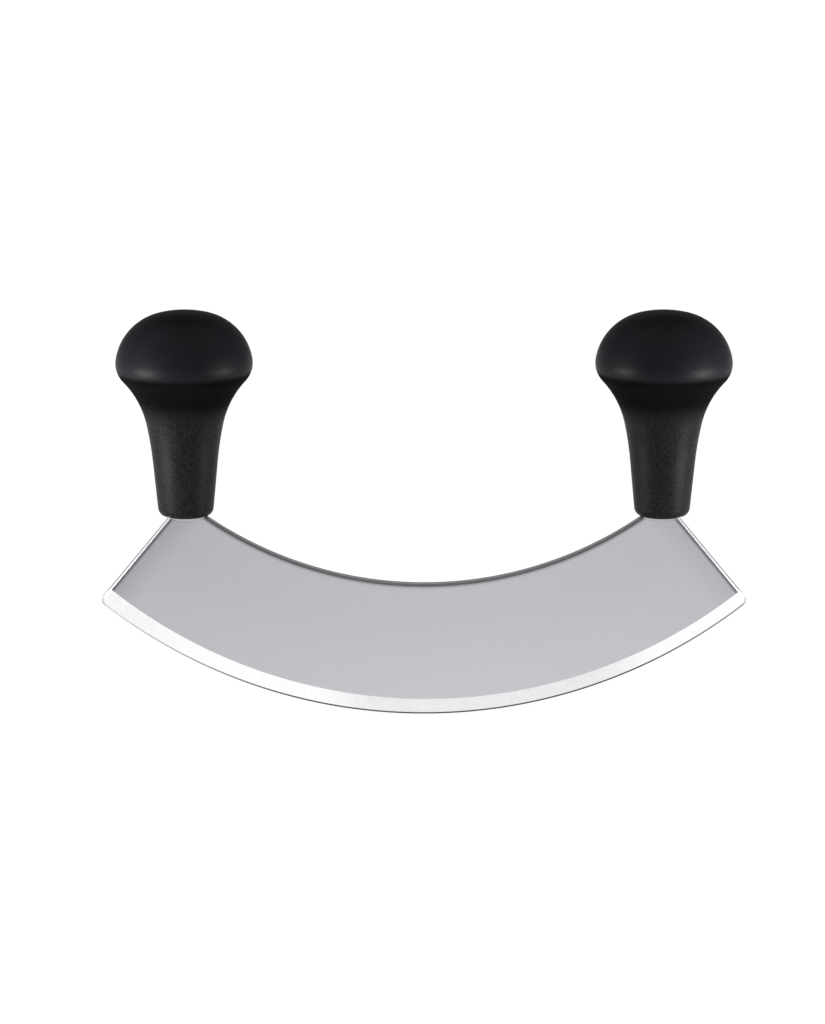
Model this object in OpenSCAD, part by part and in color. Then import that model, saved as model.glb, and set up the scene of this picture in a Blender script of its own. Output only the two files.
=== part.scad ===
// Mezzaluna: a curved steel blade that rocks on a board between two moulded knobs.
// X runs along the blade, Y through its thickness and Z up.
// The origin is the lowest point of the cutting edge, in the middle of the thickness.

/* [Blade] */
// Radius of the cutting edge's arc
edge_r = 143.3; // [125:0.1:175]
// Width of the blade, from the spine to the cutting edge
blade_w = 38; // [34:0.1:44]
// Angle from the middle of the blade to each of its ends
end_angle = 39.5; // [35:0.1:44]
// Thickness of the steel
blade_t = 2.5; // [1.8:0.1:3.2]
// Rounding along the spine and along both ends
spine_round = 1.1; // [0.4:0.05:1.6]
// Rounding of the two tips, seen from the side
tip_r = 2.2; // [1:0.1:5]

/* [Cutting edge] */
// Width of the ground bevel
bevel_w = 4.6; // [3:0.1:8]
// Width of the steeper honed band along the edge
hone_w = 0.4; // [0.2:0.05:0.8]
// Thickness of the steel where the honed band starts
hone_t = 0.5; // [0.3:0.05:0.9]
// Thickness left at the very edge
edge_t = 0.12; // [0.05:0.01:0.2]

/* [Tangs] */
// Depth to which the blade's upper corner sits in the handle
seat_depth = 4.8; // [3.5:0.1:5.6]
// Distance of the handle's axis from that corner, towards the middle
handle_inset = 0.6; // [0:0.1:1.5]
// Width of a tang
tang_w = 8; // [6:0.1:9]
// Length of a tang above the base of the handle
tang_l = 36; // [32:0.5:44]
// Diameter of the two locking holes in a tang
lock_hole_d = 4.2; // [3:0.1:5]
// Height of the lower locking hole above the base of the handle
lock_hole_h = 13; // [11:0.5:15]
// Distance between the two locking holes
lock_hole_pitch = 14; // [11:0.5:16]
// Radius of the notches in both sides of a tang, between the holes
notch_r = 1.2; // [0.6:0.1:1.8]
// Depth of the coined land round a tang, on each face
land_depth = 0.1; // [0.05:0.01:0.25]
// Distance from the base of the handle down to the land's lowest point
land_drop = 1.6; // [1.4:0.1:5]
// Radius of the land's lower end
land_r = 12; // [10:0.5:16]

/* [Handle] */
// Height of a handle
handle_h = 57.7; // [52:0.1:70]
// Diameter of the base, before its edge is rounded
base_d = 15.1; // [14:0.1:18]
// Rounding of the base's edge
base_round = 2.4; // [1:0.1:4]
// Angle by which the neck widens upwards
neck_draft = 5.5; // [3:0.1:8]
// Height from the end of the straight neck to the widest circle
flare_h = 27.6; // [24:0.1:32]
// Radius of the long curve that leaves the neck
sweep_r = 90; // [65:1:120]
// Radius of the hollow under the knob
throat_r = 25.8; // [18:0.1:30]

/* [Knob] */
// Diameter of the knob at its widest circle
knob_d = 38; // [34:0.1:44]
// Height of the crown above the widest circle
crown_h = 14.6; // [12:0.1:18]
// Radius of the knob's rim
rim_r = 7.1; // [5:0.1:9]
// Radius of the shoulder between the rim and the crown
shoulder_r = 15.5; // [12:0.1:19]
// Radius of the crown on top
crown_r = 30; // [26:0.1:40]

/* [Core] */
// Thickness of the skin over the core
skin_t = 2.2; // [1.2:0.1:3]
// Height of the solid foot of the skin under the core
foot_h = 6.5; // [6:0.1:8]
// Number of locking grooves round the core's neck
groove_count = 3; // [1:1:4]
// Height of the lowest groove above the foot
groove_h = 4; // [3:0.5:6]
// Distance from one groove to the next
groove_pitch = 5; // [3.5:0.1:6]
// Width of a groove
groove_w = 2; // [1:0.1:3]
// Depth of a groove
groove_depth = 0.8; // [0.4:0.1:1.2]
// Depth of the four flats that stop the skin from turning
flat_depth = 1; // [0.4:0.1:2]

/* [Hidden] */

steel = [0.70, 0.71, 0.73];
black_skin = [0.10, 0.10, 0.11];
grey_core = [0.34, 0.34, 0.36];

// Greatest distance between an arc and the chords that draw it
arc_tolerance = 0.02;
// Greatest turn of an arc from one of its points to the next
arc_turn = 9;
// Facets of a full circle, on the handle and on the blade
handle_facets = 96;
blade_facets = 360;
// Length by which a cutter stands clear of what it cuts
spare = 1;
// Angle by which the revolved blade runs on past each end before it is trimmed
overrun_angle = 1.5;

// Crossing of the circle of radius r0 round c0 with that of radius r1 round c1,
// on the left of the line from c0 to c1 (side 1) or on its right (side -1)
function crossing(c0, r0, c1, r1, side) =
    let (gap = norm(c1 - c0))
    let (along = (gap ^ 2 + r0 ^ 2 - r1 ^ 2) / (2 * gap))
    let (across = sqrt(r0 ^ 2 - along ^ 2))
    let (dir = (c1 - c0) / gap)
    c0 + along * dir + side * across * [-dir.y, dir.x];

function heading(from, to) = atan2(to.y - from.y, to.x - from.x);

function polar(centre, r, angle) = centre + r * [cos(angle), sin(angle)];

// Points of an arc, as far apart as the tolerance and the greatest turn allow
function arc(centre, r, from, to) =
    let (turn = min(arc_turn, 2 * acos(1 - arc_tolerance / r)))
    let (steps = max(2, ceil(abs(to - from) / turn)))
    [for (i = [0 : steps]) polar(centre, r, from + (to - from) * i / steps)];

// Blade, seen from the side
spine_r = edge_r - blade_w;
edge_round = min(spine_round, blade_t / 2 - edge_t / 2);
corner = [spine_r * sin(end_angle), edge_r - spine_r * cos(end_angle)];

// Handle: its axis and its base
handle_x = corner.x - handle_inset;
base_z = corner.y - seat_depth;

// Handle profile: centres of its arcs, in radius and height above the base
base_r = base_d / 2;
neck_h = handle_h - crown_h - flare_h;
function neck_r(h) = base_r + h * tan(neck_draft);
crown_c = [0, handle_h - crown_r];
rim_c = [knob_d / 2 - rim_r, handle_h - crown_h];
shoulder_c = crossing(crown_c, crown_r - shoulder_r, rim_c, shoulder_r - rim_r, 1);
sweep_c = polar([neck_r(neck_h), neck_h], sweep_r, -neck_draft);
throat_c = crossing(rim_c, rim_r + throat_r, sweep_c, sweep_r - throat_r, -1);

// Directions in which one arc of the profile hands over to the next
crown_end = heading(crown_c, shoulder_c);
shoulder_end = heading(shoulder_c, rim_c);
rim_end = heading(rim_c, throat_c);
throat_end = heading(sweep_c, throat_c);

// Profile from the top of the neck to the crown, moved inwards by inset
function knob_points(inset) = concat(
    arc(sweep_c, sweep_r + inset, 180 - neck_draft, throat_end),
    arc(throat_c, throat_r + inset, throat_end, 180 + rim_end),
    arc(rim_c, rim_r - inset, rim_end, shoulder_end),
    arc(shoulder_c, shoulder_r - inset, shoulder_end, crown_end),
    arc(crown_c, crown_r - inset, crown_end, 90)
);

function base_points() =
    let (round_x = neck_r(base_round) - base_round / cos(neck_draft))
    concat([[0, 0]], arc([round_x, base_round], base_round, -90, -neck_draft));

function core_foot_points() = [
    [0, foot_h],
    [neck_r(foot_h) - skin_t / cos(neck_draft), foot_h]
];

module at_handle() translate([handle_x, 0, base_z]) children();

// Stands a drawing made in X and Y up in the plane of the blade
module upright() rotate([90, 0, 0]) children();

module revolve_about_axis(points) rotate_extrude($fn = handle_facets) polygon(points);

// Half of the blade's cross-section, from the spine out to the edge
function blade_half_section() = concat(
    arc([spine_r + edge_round, blade_t / 2 - edge_round], edge_round, 180, 90),
    [
        [edge_r - bevel_w, blade_t / 2],
        [edge_r - hone_w, hone_t / 2],
        [edge_r, edge_t / 2]
    ]
);

// The same points in reverse order, mirrored to the other face
function flipped(points) = [for (i = [len(points) - 1 : -1 : 0]) [points[i].x, -points[i].y]];

// Ring segment with the rounded spine and the ground edge
module ground_arc() {
    half = blade_half_section();
    sweep = 2 * (end_angle + overrun_angle);
    rotate([0, 0, -90 - sweep / 2])
        rotate_extrude(angle = sweep, $fn = blade_facets)
            polygon(concat(half, flipped(half)));
}

// Everything on the inner side of the right end, with the end's long edges rounded
module end_trim() {
    side = blade_t / 2;
    rounded = arc([-edge_round, side - edge_round], edge_round, 0, 90);
    half = concat(rounded, [[-2 * edge_r, side]]);
    rotate([0, 0, end_angle])
        upright()
            linear_extrude(edge_r + spare)
                polygon(concat(flipped(half), half));
}

// What lies outside the rounding of the right tip
module tip_trim() {
    centre = [-tip_r, -sqrt((edge_r - tip_r) ^ 2 - tip_r ^ 2)];
    beyond = centre * (edge_r + spare) / norm(centre);
    rotate([0, 0, end_angle])
        linear_extrude(blade_t + 2 * spare, center = true)
            difference() {
                polygon([centre, [spare, centre.y], [spare, -edge_r - spare], beyond]);
                translate(centre) circle(tip_r, $fn = handle_facets);
            }
}

// Both ends at once: the child is for the right end
module both_ends() {
    children();
    mirror([1, 0, 0]) children();
}

// Blade without its tangs, lying in X and Y round the arc's centre
module blade_arc() {
    difference() {
        intersection() {
            ground_arc();
            end_trim();
            mirror([1, 0, 0]) end_trim();
        }
        both_ends() tip_trim();
    }
}

// Outline of the right tang, in X and in height above the handle's base
module tang_outline() {
    difference() {
        union() {
            translate([-tang_w / 2, 0]) square([tang_w, tang_l - tang_w / 2]);
            translate([0, tang_l - tang_w / 2]) circle(tang_w / 2, $fn = handle_facets);
        }
        for (h = [lock_hole_h, lock_hole_h + lock_hole_pitch])
            translate([0, h]) circle(d = lock_hole_d, $fn = handle_facets);
        for (side = [-1, 1])
            translate([side * tang_w / 2, lock_hole_h + lock_hole_pitch / 2])
                circle(notch_r, $fn = handle_facets);
    }
}

module tang() at_handle() upright() linear_extrude(blade_t, center = true) tang_outline();

// Steel pressed away on one face to leave the land round a tang
module coined_pocket() {
    at_handle()
        upright()
            translate([0, 0, blade_t / 2 - land_depth])
                linear_extrude(spare) {
                    translate([0, land_r - land_drop]) circle(land_r, $fn = blade_facets);
                    translate([-land_r, land_r - land_drop]) square([2 * land_r, tang_l]);
                }
}

module blade_solid() {
    difference() {
        union() {
            translate([0, 0, edge_r]) upright() blade_arc();
            both_ends() tang();
        }
        both_ends() {
            coined_pocket();
            mirror([0, 1, 0]) coined_pocket();
        }
    }
}

// Core of the right handle, before the steel is taken out of it
module core_form() {
    flat_width = knob_d - 2 * (skin_t + flat_depth);
    at_handle()
        difference() {
            intersection() {
                revolve_about_axis(concat(core_foot_points(), knob_points(skin_t)));
                translate([-flat_width / 2, -flat_width / 2, 0])
                    cube([flat_width, flat_width, handle_h]);
            }
            for (i = [0 : groove_count - 1]) locking_groove(foot_h + groove_h + i * groove_pitch);
        }
}

// Ring that cuts one groove into the core's neck at height h
module locking_groove(h) {
    translate([0, 0, h])
        difference() {
            cylinder(h = groove_w, r = neck_r(h + groove_w) + spare, $fn = handle_facets);
            translate([0, 0, -spare])
                cylinder(h = groove_w + 2 * spare, r = neck_r(h) - skin_t - groove_depth,
                    $fn = handle_facets);
        }
}

// The plastic fills the locking holes, which pins it to the tang
module core_solid() {
    difference() {
        core_form();
        blade_solid();
    }
}

module grip_solid() {
    difference() {
        at_handle() revolve_about_axis(concat(base_points(), knob_points(0)));
        core_form();
        blade_solid();
    }
}

module blade() color(steel) blade_solid();

module right_core() color(grey_core) core_solid();

module left_core() color(grey_core) mirror([1, 0, 0]) core_solid();

module right_grip() color(black_skin) grip_solid();

module left_grip() color(black_skin) mirror([1, 0, 0]) grip_solid();

blade();
left_core();
left_grip();
right_core();
right_grip();
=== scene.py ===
"""Looks of a two-handled mincing knife, dressed round its CAD frame. Lengths are in metres."""
import math

import bmesh
import bpy
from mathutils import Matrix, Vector


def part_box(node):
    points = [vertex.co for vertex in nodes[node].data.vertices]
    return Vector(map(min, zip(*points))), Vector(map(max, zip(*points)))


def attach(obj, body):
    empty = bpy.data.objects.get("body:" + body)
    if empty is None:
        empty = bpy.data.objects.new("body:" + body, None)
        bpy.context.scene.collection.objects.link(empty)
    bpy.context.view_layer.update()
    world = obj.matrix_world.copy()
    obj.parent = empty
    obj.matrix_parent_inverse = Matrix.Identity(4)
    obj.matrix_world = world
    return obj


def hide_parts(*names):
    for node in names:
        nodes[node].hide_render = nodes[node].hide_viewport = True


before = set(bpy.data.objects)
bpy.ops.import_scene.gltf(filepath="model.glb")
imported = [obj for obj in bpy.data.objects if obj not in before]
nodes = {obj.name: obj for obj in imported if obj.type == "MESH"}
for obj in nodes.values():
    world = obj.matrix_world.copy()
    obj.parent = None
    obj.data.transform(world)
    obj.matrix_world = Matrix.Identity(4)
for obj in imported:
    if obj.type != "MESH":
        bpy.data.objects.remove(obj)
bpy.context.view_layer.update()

MM = 0.001

# Blade, as in the CAD source
EDGE_R = 143.3 * MM
BLADE_W = 38.0 * MM
END_ANGLE = math.radians(39.5)
BLADE_T = 2.5 * MM
SPINE_ROUND = 1.1 * MM
TIP_R = 2.2 * MM
BEVEL_W = 4.6 * MM
HONE_W = 0.4 * MM
HONE_T = 0.5 * MM
EDGE_T = 0.12 * MM
SPINE_R = EDGE_R - BLADE_W
BEVEL_R = EDGE_R - BEVEL_W

# The bevel is ground wider towards the left end than towards the right, by this share of x
BEVEL_LEAN = 0.005

# Tangs and the land round them, as in the CAD source
TANG_W = 8.0 * MM
TANG_L = 36.0 * MM
LOCK_HOLE_D = 4.2 * MM
LOCK_HOLE_H = 13.0 * MM
LOCK_HOLE_PITCH = 14.0 * MM
NOTCH_R = 1.2 * MM
LAND_DEPTH = 0.1 * MM
LAND_DROP = 1.6 * MM
LAND_R = 12.0 * MM

# Handle, as in the CAD source: its height and width come from the frame
BASE_D = 15.1 * MM
BASE_ROUND = 2.4 * MM
NECK_DRAFT = math.radians(5.5)
FLARE_H = 27.6 * MM
SWEEP_R = 90.0 * MM
THROAT_R = 25.8 * MM
CROWN_H = 14.6 * MM
RIM_R = 7.1 * MM
SHOULDER_R = 15.5 * MM
CROWN_R = 30.0 * MM

# Fineness of the turned handle and of the blade's grid
AROUND = 192
ARC_STEP = math.radians(2.0)
ROUND_STEPS = 10
FACE_ROWS = 10
TIP_STEPS = 10
COLUMNS = 160
HOLE_SIDES = 64
SHARP_ANGLE = math.radians(40.0)

# Tip of the right end, as the distance inwards from that end and along it from the arc's centre
TIP_CENTRE = (TIP_R, math.sqrt((EDGE_R - TIP_R) ** 2 - TIP_R ** 2))

# Camera: the photograph's frame, where it looks, and its scale at the blade's middle height
FRAME_W = 825
FRAME_H = 1024
ELEVATION = math.radians(12.0)
DISTANCE = 1.05
AIM_Z = 58.15 * MM
OBJECT_PX = 423.9
PX_PER_M = 3567.0
SENSOR_H = 24.0
BLADE_MID_Z = 33.5 * MM
FAR_CLIP = 50.0

# Face of the steel: its tone, and the painted reflection on it: where along x it is brightest, how far it
# falls off by the left end, and how far it rises from the radius given to the bevel
FACE_TONE = 0.5
FACE_SHEEN_PEAK_X = 8.0 * MM
FACE_SHEEN_FALL = 0.127
FACE_RISE = 0.03
FACE_RISE_R = 112.0 * MM
HALF_LENGTH = EDGE_R * math.sin(END_ANGLE)
LAND_TONE = 0.44

# How far clouds and grain move the face's tone, how fine they are, counted per metre, and how far
# borders between tones blur
CLOUD_TONE = 0.012
CLOUD_SCALE = 35.0
GRAIN_TONE = 0.022
GRAIN_SCALE = 1500.0
BLUR = 0.03 * MM

# Steel: roughness at the least and the most, share of blue, and depth of its marks and grain
FACE_ROUGH = (0.30, 0.38)
BEVEL_ROUGH = (0.22, 0.34)
END_ROUGH = 0.2
FACE_BLUE = 1.055
BEVEL_BLUE = 1.01
MARK_DEPTH = 0.003 * MM
GRAIN_SHARE = 0.25

# Painted shade: distance over which the face darkens towards an end, and the share of its tone left there
END_SHADE_FADE = 10.0 * MM
LEFT_END_SHADE = 0.82
RIGHT_END_SHADE = 0.89

# Painted shade along the border of the face: distances over which its tone rises from a share, by the spine
# or an end
BORDER_START = 0.85 * MM
BORDER_END = 1.9 * MM
SPINE_BORDER_SHADE = 0.62
END_BORDER_SHADE = 0.3

# Rounding: distances over which its tone takes over, and that tone on the ends, a painted highlight on a
# smoother finish, and on the spine, a painted reflection pale outside and dark inside, where it changes over
# the width given
POLISH_AND_SHEEN_START = 0.5 * MM
POLISH_AND_SHEEN_END = 0.7 * MM
END_HIGHLIGHT_TONE = 0.93
SPINE_OUTER_SHEEN = 0.85
SPINE_INNER_SHADE = 0.15
SPINE_TOP = 0.3 * MM

# Bevel: its tone, how far its grinding marks move it, how wide and fine they are, counted per metre,
# the share of the fine ones, and the share of a mark's length by which it leans
BEVEL_TONE = 0.885
STREAK_TONE = 0.04
WIDE_STREAKS = 700.0
FINE_STREAKS = 2400.0
FINE_SHARE = 0.2
STREAK_SLANT = 0.04

# Painted shade on the bevel: places along x where it dims in the middle and fades to the ends, and the
# shares left there
DIP_LEFT = (-32.0 * MM, -12.0 * MM)
DIP_RIGHT = (70.0 * MM, 45.0 * MM)
FADE_LEFT = (-55.0 * MM, -90.0 * MM)
FADE_RIGHT = (55.0 * MM, 90.0 * MM)
BEVEL_SHADE_DIP = 0.84
BEVEL_END_SHADE = 0.86
RIGHT_SHADE_FADE = 0.4

# Dark line of painted shade along the edge: its width and tone, and its tone at the left end, at the right
# end and round the tips, with the places where these change
HONE_DARK = 0.48 * MM
HONE_SHADE_TONE = 0.08
HONE_LEFT = 0.6
HONE_LEFT_X = (-95.0 * MM, -30.0 * MM)
HONE_RIGHT = 0.25
HONE_RIGHT_X = (55.0 * MM, 90.0 * MM)
TIP_SHADE_TONE = 0.35
TIP_LINE = (0.35 * MM, 0.22 * MM)

# Plastic: the refraction that both handle pieces share
PLASTIC_IOR = 1.48

# Skin of the handles: its tone and roughness, and those in the hollow under the knob, where the darker tone
# is painted shade
SKIN_TONE = 0.0068
SKIN_ROUGH = 0.45
SKIN_SPECULAR = 0.06
HOLLOW_SHADE_TONE = 0.0007
HOLLOW_ROUGH = 1.0
KNOB_BLUE = 1.3

# Grain of the skin: how fine it, its wider waves, its patches and its specks are, counted per metre,
# its depth, and how far it moves the tone and roughness where it is coarse or worn
SKIN_GRAIN = 1400.0
SKIN_WAVES = 700.0
SKIN_PATCHES = 60.0
SKIN_SPECKS = 2100.0
SPECK_FROM = (0.77, 0.82)
SPECK_TONE = 3.0 * SKIN_TONE
GRAIN_DEPTH = 0.05 * MM
WAVE_SHARE = 0.3
COARSE = (-0.9, 2.9)
COARSE_ROUGH = (-0.2, 0.2)
WORN_GRAIN = (0.85, 1.15)
PATCH_TONE = (0.9, 1.1)

# Core: tone and roughness at the least and the most, depth and fineness of its grain and flow marks
CORE_TONE = (0.09, 0.12)
CORE_GRAIN_TONE = (-0.008, 0.008)
CORE_ROUGH = (0.44, 0.56)
CORE_DEPTH = 0.01 * MM
CORE_BLUE = 1.06
CORE_GRAIN = 1800.0
CORE_FLOW = 90.0

# Heights over the knob's rim where the hollow starts and ends, and where the grain gets worn
HOLLOW_START = (-17.0 * MM, -9.0 * MM)
HOLLOW_STOP = (-1.3 * MM, -3.3 * MM)
WORN = (-8.0 * MM, 0.0)

# Floor: its own tone, and its glow near the object and far from it
FLOOR_HALF = 12.0
FLOOR_TONE = 0.2
FLOOR_GLOW = 0.89
FAR_GLOW = 0.95
GLOW_REACH = (0.2, 1.5)

# Room: its levels, and the parts of a direction over which one level gives way to another
FRONT_LEVEL = 0.15
BACK_LEVEL = 0.3
HIGH_BACK_LEVEL = 0.08
TOP_LEVEL = 0.95
SIDE_LEVEL = 0.8
TOP_FROM = (0.5, 0.8)
BACK_FROM = (0.1, 0.5)
HIGH_BACK_FROM = (0.3, 0.5)
SIDE_FROM = (0.5, 0.75)
SIDE_UNDER = (0.7, 0.5)

# Soft boxes: their place at each side, their size and their power
LAMP_X = 0.32
LAMP_Y = -0.13
LAMP_W = 0.14
LAMP_H = 0.075
LEFT_POWER = 2.0
RIGHT_POWER = 1.85


# Small geometry helpers

def polar(centre, r, angle):
    return (centre[0] + r * math.cos(angle), centre[1] + r * math.sin(angle))


def heading(start, end):
    return math.atan2(end[1] - start[1], end[0] - start[0])


def crossing(c0, r0, c1, r1, side):
    """Crossing of two circles, left of the line from c0 to c1 (side 1) or right of it (side -1)."""
    dx, dy = c1[0] - c0[0], c1[1] - c0[1]
    gap = math.hypot(dx, dy)
    along = (gap ** 2 + r0 ** 2 - r1 ** 2) / (2 * gap)
    across = math.sqrt(max(0.0, r0 ** 2 - along ** 2))
    ux, uy = dx / gap, dy / gap
    return (c0[0] + along * ux - side * across * uy, c0[1] + along * uy + side * across * ux)


def arc(centre, r, start, end, step=ARC_STEP):
    steps = max(2, math.ceil(abs(end - start) / step))
    return [polar(centre, r, start + (end - start) * i / steps) for i in range(steps + 1)]


def new_object(name, verts, faces):
    mesh = bpy.data.meshes.new(name)
    mesh.from_pydata(verts, [], faces)
    mesh.polygons.foreach_set("use_smooth", [True] * len(mesh.polygons))
    obj = bpy.data.objects.new(name, mesh)
    bpy.context.scene.collection.objects.link(obj)
    return obj


def combine(target, operation, other):
    """Joins the other mesh to the target or cuts it out of it, and removes the other."""
    modifier = target.modifiers.new("combine", "BOOLEAN")
    modifier.operation = operation
    modifier.solver = "EXACT"
    modifier.object = other
    seen = target.evaluated_get(bpy.context.evaluated_depsgraph_get())
    mesh = bpy.data.meshes.new_from_object(seen)
    target.modifiers.clear()
    target.data = mesh
    bpy.data.objects.remove(other)


# Handle

def handle_profile(height, width):
    """Radius and height of the handle's outline, from the middle of its base to its crown."""
    neck_h = height - CROWN_H - FLARE_H
    neck_r = BASE_D / 2 + neck_h * math.tan(NECK_DRAFT)
    round_x = BASE_D / 2 + BASE_ROUND * math.tan(NECK_DRAFT) - BASE_ROUND / math.cos(NECK_DRAFT)
    crown = (0.0, height - CROWN_R)
    rim = (width / 2 - RIM_R, height - CROWN_H)
    shoulder = crossing(crown, CROWN_R - SHOULDER_R, rim, SHOULDER_R - RIM_R, 1)
    sweep = polar((neck_r, neck_h), SWEEP_R, -NECK_DRAFT)
    throat = crossing(rim, RIM_R + THROAT_R, sweep, SWEEP_R - THROAT_R, -1)
    crown_end = heading(crown, shoulder)
    shoulder_end = heading(shoulder, rim)
    rim_end = heading(rim, throat)
    throat_end = heading(sweep, throat)
    parts = [
        [(0.0, 0.0)],
        arc((round_x, BASE_ROUND), BASE_ROUND, -math.pi / 2, -NECK_DRAFT, 4 * ARC_STEP),
        arc(sweep, SWEEP_R, math.pi - NECK_DRAFT, throat_end),
        arc(throat, THROAT_R, throat_end, math.pi + rim_end),
        arc(rim, RIM_R, rim_end, shoulder_end),
        arc(shoulder, SHOULDER_R, shoulder_end, crown_end),
        arc(crown, CROWN_R, crown_end, math.pi / 2),
    ]
    points = parts[0]
    for part in parts[1:]:
        points += [p for p in part if math.dist(p, points[-1]) > 0.001 * MM]
    return points


def lathe(name, points, axis_x, base_z):
    """Mesh object turned from an outline whose first and last points lie on the axis."""
    rings = points[1:-1]
    verts = [(axis_x, 0.0, base_z + points[0][1])]
    for r, z in rings:
        for i in range(AROUND):
            turn = 2 * math.pi * i / AROUND
            verts.append((axis_x + r * math.cos(turn), r * math.sin(turn), base_z + z))
    top = len(verts)
    verts.append((axis_x, 0.0, base_z + points[-1][1]))
    faces = []
    for i in range(AROUND):
        j = (i + 1) % AROUND
        faces.append((0, 1 + j, 1 + i))
        for k in range(len(rings) - 1):
            low, high = 1 + k * AROUND, 1 + (k + 1) * AROUND
            faces.append((low + i, low + j, high + j, high + i))
        last = 1 + (len(rings) - 1) * AROUND
        faces.append((last + i, last + j, top))
    return new_object(name, verts, faces)


# Blade

def quarter_steps():
    """Distances from a rounded border at which its rounding turns by equal steps."""
    return [SPINE_ROUND * (1 - math.cos(math.pi / 2 * i / ROUND_STEPS)) for i in range(ROUND_STEPS + 1)]


def rounded(distance):
    """Half of the thickness at this distance from a rounded border."""
    rest = min(1.0, max(0.0, 1 - distance / SPINE_ROUND))
    return BLADE_T / 2 - SPINE_ROUND * (1 - math.sqrt(1 - rest ** 2))


def bevel_start(x):
    """Radius at which the bevel starts."""
    return BEVEL_R + BEVEL_LEAN * x


def ground(radius, x):
    """Half of the thickness that the bevel and the honed band leave at this radius."""
    depth = EDGE_R - radius
    width = EDGE_R - bevel_start(x)
    if depth >= width:
        return BLADE_T / 2
    if depth >= HONE_W:
        return (HONE_T + (BLADE_T - HONE_T) * (depth - HONE_W) / (width - HONE_W)) / 2
    return (EDGE_T + (HONE_T - EDGE_T) * depth / HONE_W) / 2


def end_angle_at(radius):
    """Angle at which the row of this radius meets the right end or the arc of its tip."""
    if radius <= TIP_CENTRE[1]:
        return END_ANGLE
    inset, along = crossing((0.0, 0.0), radius, TIP_CENTRE, TIP_R, 1)
    return END_ANGLE - math.atan2(inset, along)


def end_distance(radius, angle):
    """Distance to the nearer end, or to the arc of its tip where that is nearer."""
    turn = END_ANGLE - abs(angle)
    inset, along = radius * math.sin(turn), radius * math.cos(turn)
    if inset >= TIP_R or along <= TIP_CENTRE[1]:
        return inset
    return TIP_R - math.hypot(TIP_R - inset, along - TIP_CENTRE[1])


def blade_rows():
    """Radii of the grid's rows, from the spine to the edge."""
    spine = [SPINE_R + step for step in quarter_steps()]
    flat_w = BLADE_W - BEVEL_W - SPINE_ROUND
    face = [SPINE_R + SPINE_ROUND + flat_w * i / FACE_ROWS for i in range(1, FACE_ROWS)] + [BEVEL_R]
    tip = [math.hypot(*polar(TIP_CENTRE, TIP_R, math.pi - math.pi / 2 * i / TIP_STEPS))
           for i in range(TIP_STEPS)]
    return spine + face + sorted(tip + [EDGE_R - HONE_W]) + [EDGE_R]


def row_angles(radius):
    """Angles of one row's points, from the left end to the right one."""
    end = end_angle_at(radius)
    right = [end - math.asin(step / radius) for step in reversed(quarter_steps())]
    inner = right[0]
    middle = [inner * (2 * i / COLUMNS - 1) for i in range(1, COLUMNS)]
    return [-angle for angle in reversed(right)] + middle + right


def blade_body():
    """Blade without its tangs: the same grid on both faces, joined by a strip along the border."""
    front = []
    for radius in blade_rows():
        row = []
        for angle in row_angles(radius):
            r = bevel_start(radius * math.sin(angle)) if radius == BEVEL_R else radius
            x = r * math.sin(angle)
            half = min(rounded(r - SPINE_R), rounded(end_distance(r, angle)), ground(r, x))
            row.append((x, -half, EDGE_R - r * math.cos(angle)))
        front.append(row)
    rows, columns = len(front), len(front[0])
    verts = [p for row in front for p in row]
    back = len(verts)
    verts += [(x, -y, z) for x, y, z in verts]
    faces = []
    for i in range(rows - 1):
        for j in range(columns - 1):
            a, b = i * columns + j, (i + 1) * columns + j
            faces.append((b, b + 1, a + 1, a))
            faces.append((back + a, back + a + 1, back + b + 1, back + b))
    border = list(range(columns))
    border += [i * columns + columns - 1 for i in range(1, rows)]
    border += [(rows - 1) * columns + j for j in range(columns - 2, -1, -1)]
    border += [i * columns for i in range(rows - 2, 0, -1)]
    for a, b in zip(border, border[1:] + border[:1]):
        faces.append((a, b, back + b, back + a))
    return new_object("blade_steel", verts, faces)


def prisms(name, outlines, layers):
    """Mesh of each outline, drawn in X and Z, stretched between the two depths of each layer."""
    verts, faces = [], []
    for outline in outlines:
        for near, far in layers:
            first, n = len(verts), len(outline)
            verts += [(x, near, z) for x, z in outline] + [(x, far, z) for x, z in outline]
            faces.append([first + i for i in range(n)])
            faces.append([first + n + i for i in reversed(range(n))])
            for i in range(n):
                j = (i + 1) % n
                faces.append((first + i, first + n + i, first + n + j, first + j))
    return new_object(name, verts, faces)


def at_handles(points, handle_x, base_z):
    """An outline given from the right handle's base, at both handles."""
    right = [(handle_x + x, base_z + z) for x, z in points]
    return [right, [(-x, z) for x, z in reversed(right)]]


def circle(centre, r):
    return [polar(centre, r, 2 * math.pi * i / HOLE_SIDES) for i in range(HOLE_SIDES)]


def make_tangs(handle_x, base_z):
    top = TANG_L - TANG_W / 2
    step = 2 * math.pi / HOLE_SIDES
    outline = [(-TANG_W / 2, 0.0), (TANG_W / 2, 0.0)] + arc((0.0, top), TANG_W / 2, 0.0, math.pi, step)
    half = BLADE_T / 2 - LAND_DEPTH
    tangs = prisms("tangs", at_handles(outline, handle_x, base_z), [(-half, half)])
    holes = []
    for h in (LOCK_HOLE_H, LOCK_HOLE_H + LOCK_HOLE_PITCH):
        holes += at_handles(circle((0.0, h), LOCK_HOLE_D / 2), handle_x, base_z)
    for side in (-1, 1):
        centre = (side * TANG_W / 2, LOCK_HOLE_H + LOCK_HOLE_PITCH / 2)
        holes += at_handles(circle(centre, NOTCH_R), handle_x, base_z)
    combine(tangs, "DIFFERENCE", prisms("holes", holes, [(-BLADE_T, BLADE_T)]))
    return tangs


def land_cutter(handle_x, base_z):
    centre = (0.0, LAND_R - LAND_DROP)
    outline = arc(centre, LAND_R, math.pi, 2 * math.pi) + [(LAND_R, TANG_L), (-LAND_R, TANG_L)]
    floor = BLADE_T / 2 - LAND_DEPTH
    return prisms("lands", at_handles(outline, handle_x, base_z), [(-BLADE_T, -floor), (floor, BLADE_T)])


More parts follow.
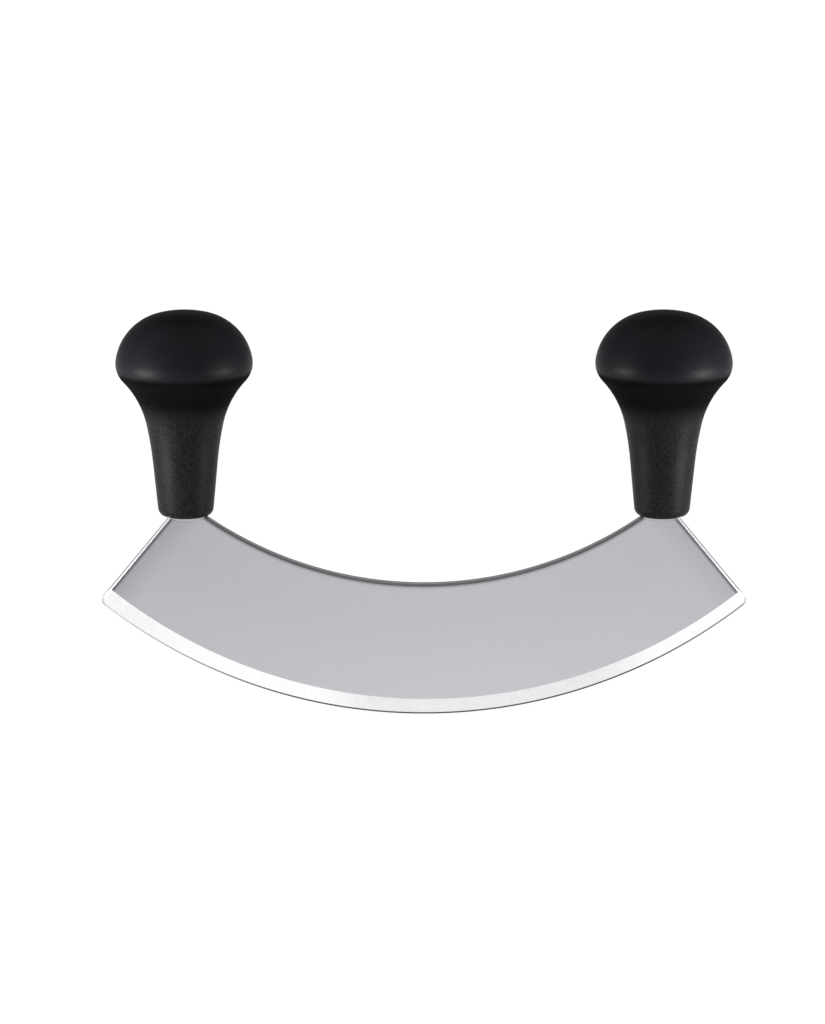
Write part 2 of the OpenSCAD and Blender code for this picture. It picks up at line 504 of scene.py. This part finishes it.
def line_gap(place, offset):
    """How far outside the line at this offset from the edge a place lies; the bevel's line leans."""
    lean = BEVEL_LEAN * place.x if offset == BEVEL_W else 0.0
    return math.hypot(place.x, EDGE_R - place.z) - (EDGE_R - offset + lean)


def mark_sharp(mesh):
    """Marks the steep edges, and those where the face, the bevel and the honed band meet."""
    near = 0.02 * MM
    bm = bmesh.new()
    bm.from_mesh(mesh)
    for edge in bm.edges:
        on_line = False
        for offset in (BEVEL_W, HONE_W, 0.0):
            on_line |= all(abs(line_gap(v.co, offset)) < near for v in edge.verts)
        edge.smooth = not (on_line or edge.calc_face_angle(0.0) > SHARP_ANGLE)
    bm.to_mesh(mesh)
    bm.free()


# Material helpers

class Tree:
    """A material's or the world's node tree, with short ways to add and join nodes."""

    def __init__(self, owner):
        owner.use_nodes = True
        self.tree = owner.node_tree
        self.tree.nodes.clear()

    def add(self, kind, inputs=None, **settings):
        node = self.tree.nodes.new(kind)
        for key, value in settings.items():
            setattr(node, key, value)
        for key, value in (inputs or {}).items():
            self.set(node.inputs[key], value)
        return node

    def set(self, socket, value):
        if isinstance(value, bpy.types.NodeSocket):
            self.tree.links.new(value, socket)
        else:
            socket.default_value = value

    def math(self, operation, a, b=0.0):
        return self.add("ShaderNodeMath", {0: a, 1: b}, operation=operation).outputs[0]

    def length(self, a, b):
        return self.math("SQRT", self.math("ADD", self.math("MULTIPLY", a, a), self.math("MULTIPLY", b, b)))

    def step(self, value, low, high):
        """0 at low, 1 at high, smooth between."""
        node = self.add("ShaderNodeMapRange", {0: value, 1: low, 2: high, 3: 0.0, 4: 1.0})
        node.interpolation_type = "SMOOTHSTEP"
        return node.outputs[0]

    def scale(self, value, low, high):
        """0 to 1 stretched to low to high."""
        return self.add("ShaderNodeMapRange", {0: value, 1: 0.0, 2: 1.0, 3: low, 4: high}).outputs[0]

    def mix(self, factor, a, b):
        """Number b over number a by factor."""
        return self.add("ShaderNodeMix", {0: factor, 2: a, 3: b}, data_type="FLOAT").outputs[0]

    def noise(self, vector, scale, detail=2.0, roughness=0.5):
        node = self.add("ShaderNodeTexNoise", {"Scale": scale, "Detail": detail, "Roughness": roughness})
        self.set(node.inputs["Vector"], vector)
        return node.outputs["Fac"]

    def vector(self, x, y, z):
        return self.add("ShaderNodeCombineXYZ", {0: x, 1: y, 2: z}).outputs[0]

    def tint(self, tone, blue):
        """Colour of this tone, with its blue taken by this share."""
        inputs = {0: tone, 1: tone, 2: self.math("MULTIPLY", tone, blue)}
        return self.add("ShaderNodeCombineColor", inputs).outputs[0]

    def bump(self, height, distance):
        inputs = {"Strength": 1.0, "Distance": distance, "Height": height}
        return self.add("ShaderNodeBump", inputs).outputs[0]

    def finish(self, shader, kind="ShaderNodeOutputMaterial"):
        self.set(self.add(kind).inputs["Surface"], shader.outputs[0])


def grey(level):
    return (level, level, level, 1.0)


def place(tree):
    """Position on the object, in metres: x, y, z and the whole vector."""
    vector = tree.add("ShaderNodeTexCoord").outputs["Object"]
    parts = tree.add("ShaderNodeSeparateXYZ", {0: vector})
    return parts.outputs[0], parts.outputs[1], parts.outputs[2], vector


def gap_to_end(t, out, drop):
    """Distance inwards from the nearer end, or from the arc of its tip."""
    sine, cosine = math.sin(END_ANGLE), math.cos(END_ANGLE)
    inset = t.math("SUBTRACT", t.math("MULTIPLY", drop, sine), t.math("MULTIPLY", out, cosine))
    along = t.math("ADD", t.math("MULTIPLY", out, sine), t.math("MULTIPLY", drop, cosine))
    by_end = t.math("LESS_THAN", inset, TIP_R)
    short = t.math("MINIMUM", t.math("SUBTRACT", inset, TIP_CENTRE[0]), 0.0)
    over = t.math("MAXIMUM", t.math("SUBTRACT", along, TIP_CENTRE[1]), 0.0)
    over = t.math("MULTIPLY", over, by_end)
    from_tip = t.math("SUBTRACT", TIP_R, t.length(short, over))
    return t.mix(by_end, inset, from_tip)


def on_land(t, out, z, handle_x, base_z):
    """1 inside the circle of the land, which hangs just below the handle's base."""
    aside = t.math("SUBTRACT", out, handle_x)
    rise = t.math("SUBTRACT", z, base_z - LAND_DROP + LAND_R)
    return t.step(t.length(aside, rise), LAND_R + BLUR, LAND_R - BLUR)


def flat_tone_sheen_and_shade(t, x, radius, from_end, mottle):
    """Tone of the flat, with painted reflection and shade: brightest low in the middle, less so towards the
    ends and its borders.
    """
    # Painted reflection: brightest low in the middle of the face, falling off towards both ends
    off_peak = t.math("DIVIDE", t.math("SUBTRACT", x, FACE_SHEEN_PEAK_X), FACE_SHEEN_PEAK_X + HALF_LENGTH)
    fall = t.math("MULTIPLY", t.math("MULTIPLY", off_peak, off_peak), -FACE_SHEEN_FALL)
    rise = t.math("MULTIPLY", t.step(radius, FACE_RISE_R, BEVEL_R), FACE_RISE)
    tone = t.math("ADD", t.math("ADD", t.math("ADD", FACE_TONE, fall), rise), mottle)
    # Painted shade along the spine and the ends, where each rounding starts
    from_spine = t.math("SUBTRACT", radius, SPINE_R)
    by_spine = t.scale(t.step(from_spine, BORDER_START, BORDER_END), SPINE_BORDER_SHADE, 1.0)
    by_end = t.scale(t.step(from_end, BORDER_START, BORDER_END), END_BORDER_SHADE, 1.0)
    tone = t.math("MULTIPLY", tone, t.math("MINIMUM", by_spine, by_end))
    # Painted shade: the face darkens towards each end
    end_shade = t.scale(t.step(x, -END_SHADE_FADE, END_SHADE_FADE), LEFT_END_SHADE, RIGHT_END_SHADE)
    return t.math("MULTIPLY", tone, t.mix(t.step(from_end, 0.0, END_SHADE_FADE), end_shade, 1.0))


def bevel_tone_and_shade(t, x, streaks):
    """Tone of the bevel: streaked, with painted shade that dims it in the middle and towards both ends."""
    marks = t.scale(streaks, BEVEL_TONE - STREAK_TONE, BEVEL_TONE + STREAK_TONE)
    dip = t.math("MULTIPLY", t.step(x, *DIP_LEFT), t.step(x, *DIP_RIGHT))
    right_fade = t.math("MULTIPLY", t.step(x, *FADE_RIGHT), RIGHT_SHADE_FADE)
    fade = t.math("ADD", t.step(x, *FADE_LEFT), right_fade)
    share = t.math("MULTIPLY", t.scale(dip, 1.0, BEVEL_SHADE_DIP), t.scale(fade, 1.0, BEVEL_END_SHADE))
    return t.math("MULTIPLY", marks, share)


def hone_shade_tone(t, x):
    """Tone of the dark line of painted shade along the edge, which gets paler towards both ends."""
    left = t.scale(t.step(x, *HONE_LEFT_X), HONE_LEFT, HONE_SHADE_TONE)
    return t.mix(t.step(x, *HONE_RIGHT_X), left, HONE_RIGHT)


def steel_material(handle_x, base_z):
    """Satin faces and a bright ground bevel streaked across its width, with painted reflection and shade on
    faces, roundings and bevel, and a dark line of painted shade along the honed edge.
    """
    material = bpy.data.materials.new("satin_steel")
    t = Tree(material)
    x, y, z, vector = place(t)
    drop = t.math("SUBTRACT", EDGE_R, z)
    out = t.math("ABSOLUTE", x)
    radius = t.length(x, drop)
    from_end = gap_to_end(t, out, drop)
    from_spine = t.math("SUBTRACT", radius, SPINE_R)
    over_bevel = t.math("SUBTRACT", radius, t.math("ADD", BEVEL_R, t.math("MULTIPLY", x, BEVEL_LEAN)))
    bevel = t.step(over_bevel, -BLUR, BLUR)
    # Mask of the dark line of painted shade along the edge
    hone = t.step(radius, EDGE_R - HONE_DARK - BLUR, EDGE_R - HONE_DARK + BLUR)
    # Masks of the roundings, which carry a painted highlight on the ends and a painted reflection on the
    # spine
    on_spine = t.step(from_spine, POLISH_AND_SHEEN_END, POLISH_AND_SHEEN_START)
    on_end = t.step(from_end, POLISH_AND_SHEEN_END, POLISH_AND_SHEEN_START)

    # Grinding marks run across the bevel, so they change along the arc and hardly across it
    arc_place = t.math("MULTIPLY", t.math("ARCTAN2", x, drop), EDGE_R)
    streak_at = t.vector(arc_place, t.math("MULTIPLY", radius, STREAK_SLANT), t.math("MULTIPLY", y, 2.0))
    wide, fine = t.noise(streak_at, WIDE_STREAKS, 2.0, 0.6), t.noise(streak_at, FINE_STREAKS, 2.0, 0.6)
    streaks = t.mix(FINE_SHARE, wide, fine)
    cloud = t.noise(vector, CLOUD_SCALE, 3.0, 0.55)
    grain = t.noise(vector, GRAIN_SCALE, 2.0, 0.6)
    mottle = t.math("ADD", t.scale(cloud, -CLOUD_TONE, CLOUD_TONE), t.scale(grain, -GRAIN_TONE, GRAIN_TONE))

    # Flat, land and roundings, then the bevel, its dark line and the line round each tip
    # Painted reflection and shade on the flat
    tone = flat_tone_sheen_and_shade(t, x, radius, from_end, mottle)
    tone = t.mix(on_land(t, out, z, handle_x, base_z), tone, LAND_TONE)
    # Painted reflection on the spine's rounding, pale outside and dark inside
    tone = t.mix(on_spine, tone, t.scale(t.step(from_spine, 0.0, SPINE_TOP), SPINE_OUTER_SHEEN, SPINE_INNER_SHADE))
    # Painted highlight on the rounded ends
    tone = t.mix(on_end, tone, END_HIGHLIGHT_TONE)
    # Bevel with painted shade in the middle and towards both ends
    tone = t.mix(bevel, tone, bevel_tone_and_shade(t, x, streaks))
    # Dark line of painted shade along the edge
    tone = t.mix(hone, tone, hone_shade_tone(t, x))
    # Grey line of painted shade round each tip
    tone = t.mix(t.math("MULTIPLY", bevel, t.step(from_end, *TIP_LINE)), tone, TIP_SHADE_TONE)

    rough = t.mix(bevel, t.scale(grain, *FACE_ROUGH), t.scale(streaks, *BEVEL_ROUGH))
    rough = t.mix(on_end, rough, END_ROUGH)
    height = t.mix(bevel, t.math("MULTIPLY", grain, GRAIN_SHARE), streaks)
    t.finish(t.add("ShaderNodeBsdfPrincipled", {
        "Base Color": t.tint(tone, t.mix(bevel, FACE_BLUE, BEVEL_BLUE)), "Metallic": 1.0,
        "Roughness": rough, "Normal": t.bump(height, MARK_DEPTH)}))
    return material


def skin_material(rim_z):
    """Black moulded grain, coarse on the neck, darkened by painted shade in the hollow above it and worn on
    the knob.
    """
    material = bpy.data.materials.new("black_grain")
    t = Tree(material)
    z, vector = place(t)[2:]
    grain = t.noise(vector, SKIN_GRAIN, 3.0, 0.65)
    waves = t.noise(vector, SKIN_WAVES, 2.0, 0.5)
    patches = t.noise(vector, SKIN_PATCHES, 2.0, 0.5)
    speck = t.step(t.noise(vector, SKIN_SPECKS, 1.0, 0.4), *SPECK_FROM)
    over_rim = t.math("SUBTRACT", z, rim_z)
    hollow = t.math("MULTIPLY", t.step(over_rim, *HOLLOW_START), t.step(over_rim, *HOLLOW_STOP))
    worn = t.step(over_rim, *WORN)

    # Painted shade: the tone drops in the hollow under the knob
    level = t.scale(hollow, SKIN_TONE, HOLLOW_SHADE_TONE)
    coarse = t.math("MAXIMUM", t.scale(grain, *COARSE), 0.0)
    mottle = t.mix(worn, coarse, t.scale(grain, *WORN_GRAIN))
    mottle = t.math("MULTIPLY", mottle, t.scale(patches, *PATCH_TONE))
    tone = t.math("ADD", t.math("MULTIPLY", level, mottle), t.math("MULTIPLY", speck, SPECK_TONE))
    uneven = t.mix(worn, t.scale(grain, *COARSE_ROUGH), 0.0)
    rough = t.math("ADD", t.scale(hollow, SKIN_ROUGH, HOLLOW_ROUGH), uneven)
    height = t.mix(WAVE_SHARE, grain, waves)
    t.finish(t.add("ShaderNodeBsdfPrincipled", {
        "Base Color": t.tint(tone, t.scale(worn, 1.0, KNOB_BLUE)), "Specular IOR Level": SKIN_SPECULAR,
        "Roughness": rough, "IOR": PLASTIC_IOR, "Normal": t.bump(height, GRAIN_DEPTH)}))
    return material


def core_material():
    """Plain moulded plastic with a faint flow pattern."""
    material = bpy.data.materials.new("grey_core")
    t = Tree(material)
    vector = place(t)[3]
    grain = t.noise(vector, CORE_GRAIN, 2.0, 0.6)
    flow = t.noise(vector, CORE_FLOW, 3.0, 0.5)
    tone = t.math("ADD", t.scale(flow, *CORE_TONE), t.scale(grain, *CORE_GRAIN_TONE))
    t.finish(t.add("ShaderNodeBsdfPrincipled", {
        "Base Color": t.tint(tone, CORE_BLUE), "Roughness": t.scale(grain, *CORE_ROUGH),
        "IOR": PLASTIC_IOR, "Normal": t.bump(grain, CORE_DEPTH)}))
    return material


# Stage

def make_floor():
    corners = [(x * FLOOR_HALF, y * FLOOR_HALF, 0) for x, y in ((-1, -1), (1, -1), (1, 1), (-1, 1))]
    floor = new_object("floor", corners, [(0, 1, 2, 3)])
    material = bpy.data.materials.new("pale_floor")
    t = Tree(material)
    path = t.add("ShaderNodeLightPath")
    seen = t.math("MAXIMUM", path.outputs["Is Camera Ray"],
                  t.math("MAXIMUM", path.outputs["Is Glossy Ray"], path.outputs["Is Transmission Ray"]))
    diffuse = t.add("ShaderNodeBsdfDiffuse", {"Color": grey(FLOOR_TONE)})
    x, y = place(t)[:2]
    level = t.scale(t.step(t.length(x, y), *GLOW_REACH), FLOOR_GLOW, FAR_GLOW)
    glow = t.add("ShaderNodeEmission", {"Color": grey(1.0), "Strength": t.math("MULTIPLY", seen, level)})
    t.finish(t.add("ShaderNodeAddShader", {0: diffuse.outputs[0], 1: glow.outputs[0]}))
    floor.data.materials.append(material)


def make_world():
    """A plain room: pale overhead and at both sides, and dim in front and behind."""
    world = bpy.data.worlds.new("room")
    bpy.context.scene.world = world
    t = Tree(world)
    vector = t.add("ShaderNodeTexCoord").outputs["Generated"]
    parts = t.add("ShaderNodeSeparateXYZ", {0: vector})
    x, y, z = parts.outputs[0], parts.outputs[1], parts.outputs[2]
    side = t.math("MULTIPLY", t.step(t.math("ABSOLUTE", x), *SIDE_FROM), t.step(z, *SIDE_UNDER))
    front = t.mix(side, t.scale(t.step(z, *TOP_FROM), FRONT_LEVEL, TOP_LEVEL), SIDE_LEVEL)
    back = t.scale(t.step(z, *HIGH_BACK_FROM), BACK_LEVEL, HIGH_BACK_LEVEL)
    level = t.mix(t.step(y, *BACK_FROM), front, back)
    t.finish(t.add("ShaderNodeBackground", {"Color": grey(1.0), "Strength": level}), "ShaderNodeOutputWorld")


def make_lamp(name, power, x):
    """Soft box that stands on the floor at one side and faces the object."""
    data = bpy.data.lights.new(name, "AREA")
    data.shape = "RECTANGLE"
    data.size = LAMP_W
    data.size_y = LAMP_H
    data.energy = power
    lamp = bpy.data.objects.new(name, data)
    lamp.location = (x, LAMP_Y, LAMP_H / 2)
    aim = Vector((0.0, 0.0, LAMP_H / 2)) - lamp.location
    lamp.rotation_euler = aim.to_track_quat("-Z", "Y").to_euler()
    bpy.context.scene.collection.objects.link(lamp)


def make_camera():
    """Looks along +Y and down, and puts the middle of the object where the photograph has it."""
    aim = Vector(((FRAME_W / 2 - OBJECT_PX) / PX_PER_M, 0.0, AIM_Z))
    back = Vector((0.0, -math.cos(ELEVATION), math.sin(ELEVATION)))
    data = bpy.data.cameras.new("camera")
    data.sensor_fit = "VERTICAL"
    data.sensor_height = SENSOR_H
    depth = DISTANCE + (AIM_Z - BLADE_MID_Z) * math.sin(ELEVATION)
    data.lens = PX_PER_M * depth * SENSOR_H / FRAME_H
    data.clip_end = FAR_CLIP
    camera = bpy.data.objects.new("camera", data)
    camera.location = aim + DISTANCE * back
    camera.rotation_euler = (-back).to_track_quat("-Z", "Y").to_euler()
    bpy.context.scene.collection.objects.link(camera)
    bpy.context.scene.camera = camera


# Pieces

def take_place(piece, node, material):
    piece.data.materials.clear()
    piece.data.materials.append(material)
    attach(piece, "root")
    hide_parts(node)


def make_handle(side, material):
    """Turned skin of one handle, in the place of its CAD solid."""
    low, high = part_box(side + "_grip")
    points = handle_profile(high.z - low.z, high.x - low.x)
    skin = lathe(side + "_handle_skin", points, (low.x + high.x) / 2, low.z)
    take_place(skin, side + "_grip", material)


def make_blade():
    """Blade with its tangs, in the place of its CAD solid."""
    low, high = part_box("right_grip")
    handle_x, base_z = (low.x + high.x) / 2, low.z
    blade = blade_body()
    combine(blade, "UNION", make_tangs(handle_x, base_z))
    combine(blade, "DIFFERENCE", land_cutter(handle_x, base_z))
    mark_sharp(blade.data)
    blade.modifiers.new("even_shading", "WEIGHTED_NORMAL").keep_sharp = True
    take_place(blade, "blade", steel_material(handle_x, base_z))


def dress(node, material):
    mesh = nodes[node].data
    mesh.materials.clear()
    mesh.materials.append(material)


make_camera()
make_world()
make_floor()
make_lamp("left_box", LEFT_POWER, -LAMP_X)
make_lamp("right_box", RIGHT_POWER, LAMP_X)

make_blade()
skin = skin_material(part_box("right_grip")[1].z - CROWN_H)
core = core_material()
for side in ("left", "right"):
    make_handle(side, skin)
    dress(side + "_core", core)

bpy.context.scene.view_settings.view_transform = "Standard"
